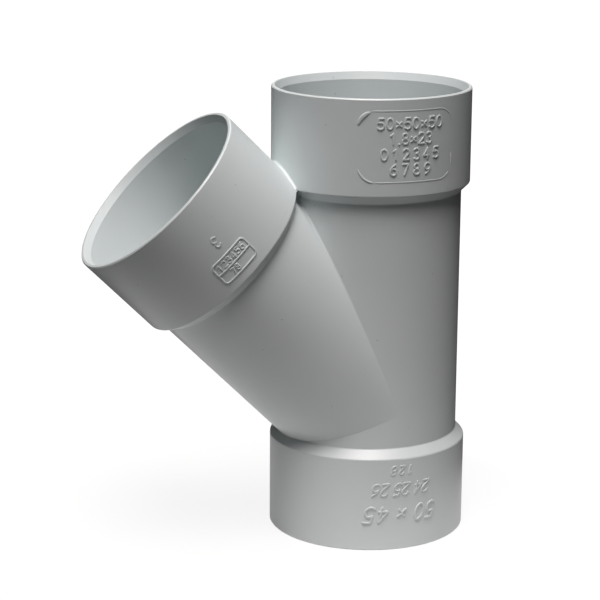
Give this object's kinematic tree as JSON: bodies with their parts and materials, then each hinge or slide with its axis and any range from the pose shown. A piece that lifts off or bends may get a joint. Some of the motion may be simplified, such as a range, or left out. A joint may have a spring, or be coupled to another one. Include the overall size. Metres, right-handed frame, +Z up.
{
  "type": "lateral wye fitting",
  "caption": "One-piece moulded pipe junction: a straight run with a branch at 45 degrees, with a plain cemented socket at each end.",
  "frame": {"origin": "centre of the lower socket's rim, on the run's axis", "axes": "+Z up the run's axis to the upper socket; the branch leaves towards -X and +Z at 45 degrees; the part is symmetric about the XZ plane"},
  "size_m": [0.106, 0.0538, 0.1222],
  "materials": {
    "grey_plastic": "satin, as moulded"
  },
  "bodies": {
    "root": {"wye_body": "grey_plastic"}
  },
  "joints": []
}
